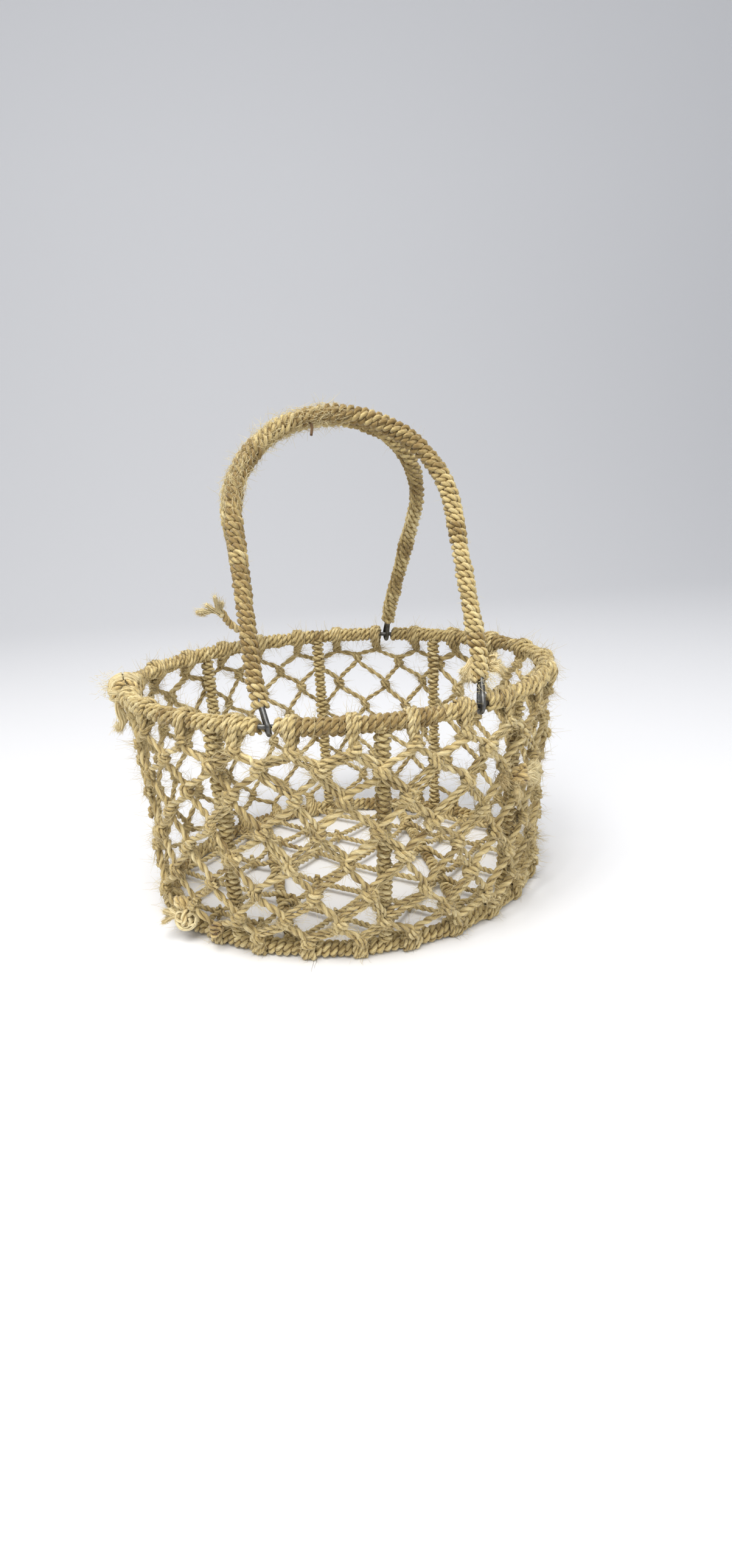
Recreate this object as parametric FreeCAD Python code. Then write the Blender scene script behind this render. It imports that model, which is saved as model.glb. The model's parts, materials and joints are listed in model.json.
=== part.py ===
"""Oval net basket of jute twine on a steel-wire frame, with two hinged bow handles.

Millimetres, +Z up. The origin is under the middle of the basket, on the surface it stands on.
+X runs along the oval, from the left end to the right end, and -Y is the front.
"""
import FreeCAD, Part
import math
import os

Vec = FreeCAD.Vector
UP = Vec(0, 0, 1)

# Wire frame: rim, base ring, ribs and floor bars are one gauge of steel wire.
WIRE_R = 1.6
RIM_HALF_LENGTH = 150.0
RIM_HALF_WIDTH = 125.0
RIM_END_RADIUS = 100.0
RIM_Z = 166.0
BASE_HALF_LENGTH = 143.0
BASE_HALF_WIDTH = 114.0
BASE_END_RADIUS = 88.0
BASE_Z = 5.6
RIB_X_AT_RIM = 97.0
RIB_X_AT_BASE = 95.0
BAR_X = 62.0

# Jute wrappings round the wires. The base wrapping is trodden flat where it stands, at z = 0.
RING_WRAP_R = 6.0
RIB_WRAP_R = 5.5
BAR_WRAP_R = 5.0

# Net: one knotted skirt outside the ribs and three knotted floor panels between the bars.
NET_GAP = 6.0
NET_THICKNESS = 2.6
NET_BOTTOM = 8.0
NET_TOP = 161.0
FLOOR_NET_LOW = 4.4
FLOOR_NET_GAP = 0.3
HITCH_R = 8.8
BASE_HITCH_R = 8.2
HITCH_WIDTH = 7.0
HITCHES_PER_SIDE_BAY = 3
HITCHES_PER_END_BAY = 6

# Handles: a wrapped bow whose two wire ends are bent into eyes round bare seats of the rim wire.
FRONT_SEAT_X = 65.0
BACK_SEAT_X = 60.0
SEAT_GAP = 11.0
BOW_HEIGHT = 198.0
BOW_RADIUS = 69.0
ELBOW_SPLAY = {"front": 4.5, "back": 0.0}
HANDLE_WRAP_R = 6.0
HANDLE_WRAP_START = 15.0
HANDLE_GAP = 0.3
EYE_RADIUS = 4.4
EYE_ELBOW = 30.0
EYE_TIP = 18.0
ELBOW_RADIUS = 25.0
NOTCH_HALF_WIDTH = 11.0
NOTCH_BOTTOM = 146.0

# Knots and frayed twine ends.
END_KNOT_R = 10.0
CLUMP_R = 5.5
CLUMP_GAP = 0.6
TUFT_R = 3.5
TUFT_LENGTH = 9.0
TAIL_R = 3.0
TAIL_LENGTH = 26.0


class Oval:
    """A four-arc oval, whose points are found by the angle of their outward normal."""

    def __init__(self, half_length, half_width, end_radius):
        reach = half_length - end_radius
        spread = reach ** 2 + half_width ** 2 - end_radius ** 2
        self.end_radius = end_radius
        self.side_radius = spread / (2 * (half_width - end_radius))
        self.end_centre = reach
        self.side_centre = self.side_radius - half_width
        self.join = math.degrees(math.atan2(self.side_centre, reach))

    def arc(self, angle):
        """Centre and radius of the arc that has this normal angle in degrees."""
        angle = angle % 360
        if self.join < angle < 180 - self.join:
            return Vec(0, -self.side_centre, 0), self.side_radius
        if 180 + self.join < angle < 360 - self.join:
            return Vec(0, self.side_centre, 0), self.side_radius
        side = 1 if angle <= self.join or angle >= 360 - self.join else -1
        return Vec(side * self.end_centre, 0, 0), self.end_radius

    def point(self, angle, z, offset=0.0):
        centre, radius = self.arc(angle)
        return centre + direction(angle) * (radius + offset) + Vec(0, 0, z)

    def angle_at_x(self, x, side):
        """Normal angle of the point at x on the back (side 1) or the front (side -1) arc."""
        return side * math.degrees(math.acos(x / self.side_radius)) % 360

    def spans(self, start, end):
        """The stretches from start to end in degrees, cut where the arcs join."""
        joins = [k * 180 + s * self.join for k in range(-2, 5) for s in (-1, 1)]
        stops = [start] + sorted(j for j in joins if start < j < end) + [end]
        return list(zip(stops[:-1], stops[1:]))

    def length(self, start, end):
        """Length along the oval between two normal angles."""
        return sum(math.radians(high - low) * self.arc((low + high) / 2)[1] for low, high in self.spans(start, end))

    def angle_after(self, start, length):
        """Normal angle of the point that is this length along the oval from start."""
        for low, high in self.spans(start, start + 360):
            reach = self.length(low, high)
            if length <= reach:
                return low + (high - low) * length / reach
            length -= reach
        return start + 360

    def outline(self, z, offset):
        """A closed wire of four arcs, the oval grown by offset."""
        edges = []
        for low, high in self.spans(self.join, self.join + 360):
            middle = (low + high) / 2
            centre, radius = self.arc(middle)
            corners = [centre + direction(a) * (radius + offset) + Vec(0, 0, z) for a in (low, middle, high)]
            edges.append(Part.Arc(*corners).toShape())
        return Part.Wire(edges)


def direction(angle):
    return Vec(math.cos(math.radians(angle)), math.sin(math.radians(angle)), 0)


def fused(solids):
    """One solid from pieces that meet end to end."""
    if len(solids) == 1:
        return solids[0]
    whole = solids[0].multiFuse(solids[1:]).removeSplitter()
    return whole.Solids[0] if len(whole.Solids) == 1 else whole


def section(centre, along, outer, inner=0.0):
    """A disc across a path, with a round hole in it when inner is given."""
    disc = Part.Face(Part.Wire(Part.makeCircle(outer, centre, along)))
    if inner:
        disc = disc.cut(Part.Face(Part.Wire(Part.makeCircle(inner, centre, along)))).Faces[0]
    return disc


def ring(oval, z, outer, inner=0.0, start=0.0, end=360.0):
    """A round bar, or a round sleeve, that follows the oval from start to end in degrees."""
    parts = []
    for low, high in oval.spans(start, end):
        centre, radius = oval.arc((low + high) / 2)
        place = centre + direction(low) * radius + Vec(0, 0, z)
        face = section(place, direction(low + 90), outer, inner)
        parts.append(face.revolve(centre, UP, high - low))
    return fused(parts)


def rod(start, end, outer, inner=0.0):
    """A straight round bar or sleeve."""
    run = end - start
    return section(start, run, outer, inner).extrude(run)


def rounded_route(points, radii):
    """Straight runs joined by tangent arcs: a list of ('line', a, b) and ('arc', centre, axis, a, degrees)."""
    pieces = []
    at = points[0]
    for before, corner, after, radius in zip(points, points[1:], points[2:], radii):
        arrive = (corner - before).normalize()
        leave = (after - corner).normalize()
        turn = math.acos(max(-1.0, min(1.0, arrive.dot(leave))))
        cut_back = radius * math.tan(turn / 2)
        enter = corner - arrive * cut_back
        exit_point = corner + leave * cut_back
        axis = arrive.cross(leave).normalize()
        if (enter - at).Length > 0.01:
            pieces.append(("line", at, enter))
        centre = enter + axis.cross(arrive) * radius
        pieces.append(("arc", centre, axis, enter, math.degrees(turn)))
        at = exit_point
    pieces.append(("line", at, points[-1]))
    return pieces


def tube(pieces, radius):
    """A round bar along a rounded route."""
    solids = []
    for piece in pieces:
        if piece[0] == "line":
            solids.append(rod(piece[1], piece[2], radius))
        else:
            _, centre, axis, enter, degrees = piece
            along = axis.cross((enter - centre).normalize())
            solids.append(section(enter, along, radius).revolve(centre, axis, degrees))
    return fused(solids)


rim = Oval(RIM_HALF_LENGTH, RIM_HALF_WIDTH, RIM_END_RADIUS)
base = Oval(BASE_HALF_LENGTH, BASE_HALF_WIDTH, BASE_END_RADIUS)
FLOOR = Part.makeBox(600, 600, 100, Vec(-300, -300, -100))
SIDES = {"front": -1, "back": 1}
RIB_PLACES = {"left": -1, "middle": 0, "right": 1}
SEAT_X = {"front": FRONT_SEAT_X, "back": BACK_SEAT_X}
RING_WRAPS = ("base_wrap", "rim_wrap_front", "rim_wrap_back", "rim_wrap_left", "rim_wrap_right")


def make_rings():
    """Rim and base wires, and the wrappings on them, which leave four bare seats on the rim."""
    nodes = {"rim_wire": ring(rim, RIM_Z, WIRE_R), "base_wire": ring(base, BASE_Z, WIRE_R)}
    half_gap = math.degrees(SEAT_GAP / 2 / rim.side_radius)
    front_left = rim.angle_at_x(-FRONT_SEAT_X, -1)
    front_right = rim.angle_at_x(FRONT_SEAT_X, -1)
    back_right = rim.angle_at_x(BACK_SEAT_X, 1)
    back_left = rim.angle_at_x(-BACK_SEAT_X, 1)
    stretches = {
        "right": (front_right - 360, back_right),
        "back": (back_right, back_left),
        "left": (back_left, front_left),
        "front": (front_left, front_right),
    }
    for name, (start, end) in stretches.items():
        wrap = ring(rim, RIM_Z, RING_WRAP_R, WIRE_R, start + half_gap, end - half_gap)
        nodes["rim_wrap_" + name] = wrap
    nodes["base_wrap"] = ring(base, BASE_Z, RING_WRAP_R, WIRE_R).cut(FLOOR)
    return nodes


def make_ribs(nodes, rim_core, base_core):
    """Six wrapped uprights, welded to the two rings."""
    for side_name, side in SIDES.items():
        for place, across in RIB_PLACES.items():
            top_angle = rim.angle_at_x(across * RIB_X_AT_RIM, side)
            foot_angle = base.angle_at_x(across * RIB_X_AT_BASE, side)
            top = rim.point(top_angle, RIM_Z)
            foot = base.point(foot_angle, BASE_Z)
            step = (top - foot).normalize() * 0.5
            wire = rod(foot + step, top - step, WIRE_R).cut(nodes["rim_wire"]).cut(nodes["base_wire"])
            wrap = rod(foot + step, top - step, RIB_WRAP_R, WIRE_R).cut(rim_core).cut(base_core)
            nodes["rib_wire_%s_%s" % (side_name, place)] = wire
            nodes["rib_wrap_%s_%s" % (side_name, place)] = wrap
            for name in RING_WRAPS:
                nodes[name] = nodes[name].cut(wire)


def make_floor(nodes, base_core):
    """Two wrapped bars across the base ring, and the knotted floor panels between them."""
    outline = base.outline(FLOOR_NET_LOW, -WIRE_R)
    plate = Part.Face(outline).extrude(Vec(0, 0, NET_THICKNESS))
    plate = plate.cut(ring(base, BASE_Z, BASE_HITCH_R + FLOOR_NET_GAP))
    for name, x in (("left", -BAR_X), ("right", BAR_X)):
        front = base.point(base.angle_at_x(x, -1), BASE_Z)
        back = base.point(base.angle_at_x(x, 1), BASE_Z)
        step = Vec(0, 0.5, 0)
        wire = rod(front + step, back - step, WIRE_R).cut(nodes["base_wire"])
        nodes["floor_bar_wire_" + name] = wire
        nodes["floor_bar_wrap_" + name] = rod(front + step, back - step, BAR_WRAP_R, WIRE_R).cut(base_core)
        nodes["base_wrap"] = nodes["base_wrap"].cut(wire)
        plate = plate.cut(rod(front + step, back - step, BAR_WRAP_R + FLOOR_NET_GAP))
    panels = sorted(plate.Solids, key=lambda solid: solid.CenterOfMass.x)
    for name, panel in zip(RIB_PLACES, panels):
        nodes["floor_net_" + name] = panel


def hitch_angles(oval, rib_x):
    """Normal angles of the net's hitches: evenly spaced in each bay between two ribs, clear of the ribs."""
    ribs = [oval.angle_at_x(x, 1) for x in (rib_x, 0, -rib_x)]
    ribs += [oval.angle_at_x(x, -1) for x in (-rib_x, 0, rib_x)]
    ribs.append(ribs[0] + 360)
    angles = []
    for bay, (start, end) in enumerate(zip(ribs[:-1], ribs[1:])):
        count = HITCHES_PER_END_BAY if bay in (2, 5) else HITCHES_PER_SIDE_BAY
        pitch = oval.length(start, end) / count
        angles += [oval.angle_after(start, pitch * (k + 0.5)) for k in range(count)]
    return angles


def hitch_rings(oval, z, radius, angles):
    """Short sleeves of cord, tied round a wrapped ring."""
    sleeves = []
    for angle in angles:
        half = math.degrees(HITCH_WIDTH / 2 / oval.arc(angle)[1])
        sleeves.append(ring(oval, z, radius, RING_WRAP_R, angle - half, angle + half))
    return sleeves


def make_net(nodes):
    """The skirt of net outside the ribs, and its hitches round the rim and the base ring."""
    rim_hitches = hitch_rings(rim, RIM_Z, HITCH_R, hitch_angles(rim, RIB_X_AT_RIM))
    base_angles = hitch_angles(base, RIB_X_AT_BASE)
    base_hitches = [h.cut(FLOOR) for h in hitch_rings(base, BASE_Z, BASE_HITCH_R, base_angles)]
    nodes["rim_hitches"] = Part.makeCompound(rim_hitches)
    nodes["base_hitches"] = Part.makeCompound(base_hitches)
    skins = []
    for offset in (NET_GAP, NET_GAP + NET_THICKNESS):
        outlines = [base.outline(NET_BOTTOM, offset), rim.outline(NET_TOP, offset)]
        skins.append(Part.makeLoft(outlines, True, True))
    skirt = skins[1].cut(skins[0])
    for side_name, side in SIDES.items():
        for across in (-1, 1):
            seat = rim.point(rim.angle_at_x(across * SEAT_X[side_name], side), 0)
            corner = Vec(seat.x - NOTCH_HALF_WIDTH, seat.y - 20, NOTCH_BOTTOM)
            skirt = skirt.cut(Part.makeBox(2 * NOTCH_HALF_WIDTH, 40, 40, corner))
    nodes["side_net"] = skirt.cut(nodes["rim_hitches"]).cut(nodes["base_hitches"])


def bow_route(seat_x, splay):
    """Right-hand half of an upright handle's wire: an eye on the X axis, an elbow splay outside it, the bow."""
    eye_slope = math.tan(math.asin(EYE_RADIUS / EYE_ELBOW))
    eye_corner = (EYE_ELBOW + EYE_RADIUS) * eye_slope

    def leaning(y, z):
        return Vec(seat_x + splay * z / EYE_ELBOW, y, z)

    tip = leaning((EYE_ELBOW - EYE_TIP) * eye_slope, EYE_TIP)
    corner_in = leaning(eye_corner, -EYE_RADIUS)
    corner_out = leaning(-eye_corner, -EYE_RADIUS)
    start = leaning(0, HANDLE_WRAP_START)
    elbow = leaning(0, EYE_ELBOW)
    rise = BOW_HEIGHT - BOW_RADIUS - EYE_ELBOW
    lean = math.asin(BOW_RADIUS / math.hypot(elbow.x, rise)) - math.atan2(elbow.x, rise)
    shoulder = Vec(elbow.x + (BOW_HEIGHT - EYE_ELBOW) * math.tan(lean), 0, BOW_HEIGHT)
    wire_half = [tip, corner_in, corner_out, elbow, shoulder]
    wrap_half = [start, elbow, shoulder]
    return wire_half, wrap_half, [EYE_RADIUS, EYE_RADIUS, ELBOW_RADIUS, BOW_RADIUS]


def mirrored(points):
    return [Vec(-p.x, p.y, p.z) for p in reversed(points)]


def make_handle(seat_x, splay):
    """An upright handle with its hinge on the X axis and its outer side at -Y: wire and wrapping."""
    half, sleeve_half, radii = bow_route(seat_x, splay)
    wire = tube(rounded_route(half + mirrored(half), radii + radii[::-1]), WIRE_R)
    sleeve = tube(rounded_route(sleeve_half + mirrored(sleeve_half), radii[2:] + radii[:1:-1]), HANDLE_WRAP_R)
    return wire, sleeve.cut(wire), sleeve


def placed(shape, side, seat_x):
    """An upright handle piece, turned to its side and leant in until the two handles nearly touch."""
    seat = rim.point(rim.angle_at_x(seat_x, side), RIM_Z)
    reach = abs(seat.y) - HANDLE_WRAP_R - HANDLE_GAP / 2
    lean = math.degrees(math.asin(reach / BOW_HEIGHT))
    moved = shape.copy()
    if side > 0:
        moved.rotate(Vec(0, 0, 0), UP, 180)
    moved.rotate(Vec(0, 0, 0), Vec(1, 0, 0), side * lean)
    moved.translate(Vec(0, seat.y, seat.z))
    return moved


def make_handles(nodes):
    """Both handles, with the frayed ends of their wrapping twine."""
    for side_name, side in SIDES.items():
        seat_x = SEAT_X[side_name]
        wire, wrap, sleeve = make_handle(seat_x, ELBOW_SPLAY[side_name])
        nodes[side_name + "_handle_wire"] = placed(wire, side, seat_x)
        nodes[side_name + "_handle_wrap"] = placed(wrap, side, seat_x)
        if side_name == "front":
            reach = HANDLE_WRAP_R + TUFT_LENGTH
            leg_x = seat_x + ELBOW_SPLAY[side_name]
            bar = rod(Vec(leg_x - reach, 0, 30), Vec(leg_x + reach, 0, 30), TUFT_R)
            nodes["front_handle_tufts"] = placed(bar.cut(sleeve), side, seat_x)
        else:
            start = Vec(seat_x, 0, 30)
            tail = rod(start, start + Vec(0.95, 0, 0.31) * TAIL_LENGTH, TAIL_R).cut(sleeve)
            nodes["back_handle_tail"] = placed(tail, side, seat_x)


def make_knots(nodes):
    """The thick knot at the rim's left end, and two clumps of spare twine on the net."""
    knot = Part.makeSphere(END_KNOT_R, rim.point(184, RIM_Z + 4) + Vec(1, 0, 0))
    for name in ("rim_wrap_left", "rim_wire", "rim_hitches", "side_net"):
        knot = knot.cut(nodes[name])
    nodes["rim_end_knot"] = max(knot.Solids, key=lambda solid: solid.Volume)
    offset = NET_GAP + NET_THICKNESS + CLUMP_GAP + CLUMP_R
    for name, angle, z in (("base_corner_clump", 215, 20), ("net_clump", 305, 110)):
        share = (z - NET_BOTTOM) / (NET_TOP - NET_BOTTOM)
        at_base = base.point(angle, z, offset)
        at_rim = rim.point(angle, z, offset)
        nodes[name] = Part.makeSphere(CLUMP_R, at_base + (at_rim - at_base) * share)


def build():
    nodes = make_rings()
    rim_core = ring(rim, RIM_Z, RING_WRAP_R)
    base_core = ring(base, BASE_Z, RING_WRAP_R)
    make_ribs(nodes, rim_core, base_core)
    make_floor(nodes, base_core)
    make_net(nodes)
    make_handles(nodes)
    make_knots(nodes)
    return nodes


os.makedirs("parts", exist_ok=True)
for node_name, node_shape in build().items():
    solids = node_shape.Solids
    shape = solids[0] if len(solids) == 1 else Part.makeCompound(solids)
    shape.exportStep("parts/%s.step" % node_name)
    print("%-28s solids %3d valid %s volume %9.0f" % (node_name, len(solids), shape.isValid(), shape.Volume))
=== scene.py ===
"""An oval basket of knotted jute net on a steel-wire frame, with two hinged bow handles.

Metres, in the CAD frame. Every strand is a mesh of two plies twisted together. Strands wind round
the frame's wires, tie round its rings and cross in knots, and fine fibres stand off them.
"""
import json
import math
from collections import namedtuple

import bpy
import numpy as np
from mathutils import Matrix, Vector


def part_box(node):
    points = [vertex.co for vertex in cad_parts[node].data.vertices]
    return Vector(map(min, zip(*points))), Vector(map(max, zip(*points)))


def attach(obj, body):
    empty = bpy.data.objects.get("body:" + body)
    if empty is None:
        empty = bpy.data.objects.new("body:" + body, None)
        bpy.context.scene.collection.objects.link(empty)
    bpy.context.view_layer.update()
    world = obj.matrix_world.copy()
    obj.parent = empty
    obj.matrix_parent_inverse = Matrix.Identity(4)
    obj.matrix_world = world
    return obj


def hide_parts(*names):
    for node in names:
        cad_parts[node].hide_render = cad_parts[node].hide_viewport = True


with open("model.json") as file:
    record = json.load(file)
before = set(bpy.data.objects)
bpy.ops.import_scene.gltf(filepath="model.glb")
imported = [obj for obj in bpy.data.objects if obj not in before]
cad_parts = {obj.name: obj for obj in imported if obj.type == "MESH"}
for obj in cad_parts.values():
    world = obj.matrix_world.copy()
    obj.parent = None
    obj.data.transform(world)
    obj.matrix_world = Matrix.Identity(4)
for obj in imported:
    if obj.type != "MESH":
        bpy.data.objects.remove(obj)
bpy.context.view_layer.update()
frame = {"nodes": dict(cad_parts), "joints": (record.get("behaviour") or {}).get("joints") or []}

MM = 0.001
X = np.array([1.0, 0, 0])
UP = np.array([0, 0, 1.0])
rng = np.random.default_rng(17)

# Camera: where it stands from the middle of the basket, and how it is aimed.
CAMERA_DISTANCE = 0.5656
CAMERA_AZIMUTH = math.radians(-9.78)
CAMERA_ELEVATION = math.radians(22.53)
CAMERA_TURN = math.radians(11.265)
CAMERA_PITCH = math.radians(23.25)
CAMERA_ROLL = math.radians(-2.395)
CAMERA_LENS = 16.77

# The four-arc ovals' end radii, as in the CAD model. Their half axes come from the frame.
RIM_END_RADIUS = 100 * MM
BASE_END_RADIUS = 88 * MM

# Twine. Radii are of the whole two-ply strand; lay is the length of one full twist.
NET_TWINE = 2.25 * MM
TIE_TWINE = 1.9 * MM
NET_LAY = 15 * MM
STEP = 1.25 * MM
PLIES = 2
SIDES = 8

# Each ply's own radius and how far its middle is from the strand's, in strand radii.
PLY_RADIUS = 0.58
PLY_SHIFT = 0.48

# The grooves between plies: where the shade starts, in strand radii, and how strong it is.
GROOVE_LEVEL = 0.92
GROOVE_SHADE = 0.55

# Hairs per metre of strand, and the radii of a single fibre.
NET_HAIRS = 420.0
KNOT_HAIRS = 500.0
TIE_HAIRS = 350.0
FLOOR_HAIRS = 400.0
FLOOR_KNOT_HAIRS = 450.0
FRAYED_HAIRS = 900.0
HAIR_RADIUS = 0.07 * MM
FIBRE_RADIUS = 0.13 * MM
TUFT_RADIUS = 0.16 * MM

# How each bar is wrapped: the outer radius, the pitch of the turns, the twine's radius and lay, the
# way the turns run, and its hairs per metre.
Winding = namedtuple("Winding", "outer pitch twine lay hand hairs")
RIM_WINDING = Winding(6.0 * MM, 4.2 * MM, 2.35 * MM, 8.8 * MM, -1, 420.0)
BASE_WINDING = Winding(6.0 * MM, 5.2 * MM, 2.7 * MM, 9 * MM, -1, 420.0)
RIB_WINDING = Winding(5.5 * MM, 4.7 * MM, 2.2 * MM, 10 * MM, 1, 420.0)
BAR_WINDING = Winding(5.0 * MM, 4.7 * MM, 2.1 * MM, 10 * MM, 1, 420.0)
HANDLE_WINDING = Winding(6.1 * MM, 4.6 * MM, 2.45 * MM, 8.4 * MM, -1, 600.0)

# The lowest that loose strands and hairs may come.
FLOOR_CLEARANCE = 0.3 * MM

# Handles: distances up the handle's plane from its hinge line, how much lower the wrapping starts on
# the left, how far the elbows splay, and how many fibres are rubbed loose.
HANDLE_WRAP_START = 15 * MM
HANDLE_WRAP_DROP = 3 * MM
EYE_ELBOW = 30 * MM
BOW_RADIUS = 69 * MM
BOW_HEIGHT = 198 * MM
ELBOW_SPLAY = {"front": 4.5 * MM, "back": 0.0}
RUBBED_FIBRES = 900

# Net: its rows of knots from the rim down, how far it stands off the wires, how much it leans round,
# and the share of the front's strands that are parted. At the ends it is drawn in by END_PULL, less
# round the sides and nothing at the base.
ROW_HEIGHTS = [h * MM for h in (153, 141, 121, 99, 76, 53, 30)]
NET_OFFSET = 7.6 * MM
NET_SKEW = -0.5
PARTED_SHARE = 0.35
END_PULL = {"left": 7 * MM, "right": 14 * MM}
END_PULL_FALL = 6
END_PULL_RISE = 0.35

# Columns of the net in each bay between ribs. A rib stands half way between two columns.
SIDE_BAY = 3
END_BAY = 6
COLUMNS = 4 * SIDE_BAY + 2 * END_BAY
RIB_PLACES = ("left", "middle", "right")
BAYS = [SIDE_BAY, SIDE_BAY, END_BAY, SIDE_BAY, SIDE_BAY, END_BAY]
RIB_COLUMNS = np.cumsum([0] + BAYS) - 0.5

# The net's knots, the loops that tie it to the rings, and where its feet are from the base wire.
KNOT_WIDTH = 6.0 * MM
KNOT_DEPTH = 4.6 * MM
KNOT_HEIGHT = 4.6 * MM
RIM_HITCH_R = 6.3 * MM
BASE_HITCH_R = 6.6 * MM
FOOT_OUT = 6 * MM
FOOT_RISE = 9 * MM

# Each stretch of the net: its first and last columns, and how heavy its twine is.
QUARTERS = {"back": (0, 5, 0.9), "left": (6, 11, 1.0), "front": (12, 17, 1.12), "right": (18, 23, 1.05)}

# Floor net: half the size of a mesh each way, its height, and how far it rises over the bars.
FLOOR_MESH_X = 27 * MM
FLOOR_MESH_Y = 24 * MM
FLOOR_REACH = 12
FLOOR_NET_Z = 6.5 * MM
FLOOR_NET_RISE = 6 * MM
FLOOR_TWINE = 2.2 * MM
FLOOR_KNOT_TWINE = 2.0 * MM
FLOOR_EDGE = 5 * MM


def unit(vectors):
    """The same vectors, one long."""
    return vectors / np.maximum(np.linalg.norm(vectors, axis=-1, keepdims=True), 1e-12)


def smooth_noise(length, scale, amount):
    """A smooth random wave, as long as the array of distances it is given, with bumps about scale apart."""
    knots = max(4, int(length[-1] / scale) + 4)
    values = rng.normal(0, amount, knots)
    return np.interp(length, np.linspace(0, length[-1] + 1e-9, knots), values)


def resample(points, step=STEP):
    """The polyline's points spaced evenly, and the distance of each along it."""
    points = np.asarray(points, float)
    spans = np.linalg.norm(np.diff(points, axis=0), axis=1)
    reach = np.concatenate([[0], np.cumsum(spans)])
    count = max(4, int(round(reach[-1] / step)) + 1)
    along = np.linspace(0, reach[-1], count)
    return np.stack([np.interp(along, reach, points[:, k]) for k in range(3)], 1), along


def stretched(up, count):
    """One direction as it is, or a row of directions brought to this count."""
    if np.ndim(up) == 1:
        return up
    old = np.linspace(0, 1, len(up))
    new = np.linspace(0, 1, count)
    return np.stack([np.interp(new, old, up[:, k]) for k in range(3)], 1)


def axes_along(path, up):
    """Tangent, the direction nearest up, and the third axis at each point of a path."""
    tangent = unit(np.gradient(path, axis=0))
    up = np.broadcast_to(np.asarray(up, float), path.shape)
    normal = unit(up - (up * tangent).sum(1, keepdims=True) * tangent)
    return tangent, normal, np.cross(tangent, normal)


def bezier(a, b, c, d, count=14):
    """Points of a cubic curve from a to d, drawn toward b and c."""
    t = np.linspace(0, 1, count)[:, None]
    return (1 - t) ** 3 * a + 3 * (1 - t) ** 2 * t * b + 3 * (1 - t) * t * t * c + t ** 3 * d


def smoothed(path):
    """The same path with its corners worn down and its ends kept."""
    path, _ = resample(path, 1.6 * MM)
    for _ in range(3):
        path[1:-1] = path[:-2] * 0.25 + path[1:-1] * 0.5 + path[2:] * 0.25
    return path


def around(centre, first, second, radius, start, stop, count=24):
    """Points of an arc about centre, from start to stop in degrees from the first direction to the second."""
    turn = np.radians(np.linspace(start, stop, count))
    return centre + radius * (np.outer(np.cos(turn), first) + np.outer(np.sin(turn), second))


def shifted(centre, axes, shifts):
    """The place that is these millimetres from centre along each of three axes."""
    return centre + sum(axis * shift for axis, shift in zip(axes, shifts)) * MM


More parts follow.
